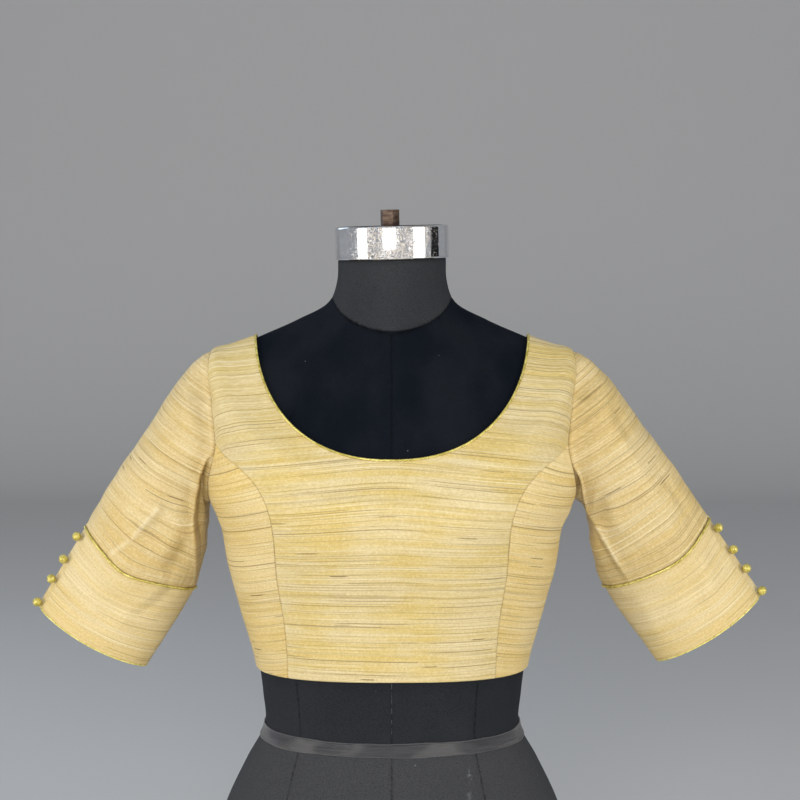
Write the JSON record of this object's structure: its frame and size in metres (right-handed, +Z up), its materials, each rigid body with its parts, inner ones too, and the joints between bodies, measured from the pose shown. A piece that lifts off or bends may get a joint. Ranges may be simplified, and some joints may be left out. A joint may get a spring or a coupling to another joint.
{
  "type": "choli blouse on a dress form",
  "caption": "Short fitted saree blouse in pale gold raw silk, round neck, elbow sleeves with buttoned cuffs, worn on a limbless tailor's form.",
  "frame": {"origin": "on the floor, at the middle of the form's flat underside", "axes": "+Z up, the blouse's front faces -Y, the wearer's left sleeve is towards +X"},
  "size_m": [0.745, 0.2832, 0.7808],
  "materials": {
    "raw_silk": "pale gold slubbed raw silk with a soft sheen",
    "gold_piping": "green-gold satin bias over cord",
    "form_cover": "matt black knit cover",
    "satin_tape": "dark grey satin ribbon",
    "cap_chrome": "polished, slightly rusted",
    "nut_bronze": "dark brown oxide"
  },
  "bodies": {
    "root": {"form_body": "form_cover", "waist_tape": "satin_tape", "neck_cap": "cap_chrome", "pole_nut": "nut_bronze", "front_centre": "raw_silk", "side_front_left": "raw_silk", "side_front_right": "raw_silk", "back_left": "raw_silk", "back_right": "raw_silk", "sleeve_left": "raw_silk", "sleeve_right": "raw_silk", "cuff_left": "raw_silk", "cuff_right": "raw_silk", "neck_piping": "gold_piping", "cuff_piping_left": "gold_piping", "cuff_piping_right": "gold_piping", "button_left_1": "gold_piping", "button_left_2": "gold_piping", "button_left_3": "gold_piping", "button_left_4": "gold_piping", "button_right_1": "gold_piping", "button_right_2": "gold_piping", "button_right_3": "gold_piping", "button_right_4": "gold_piping"}
  },
  "joints": []
}
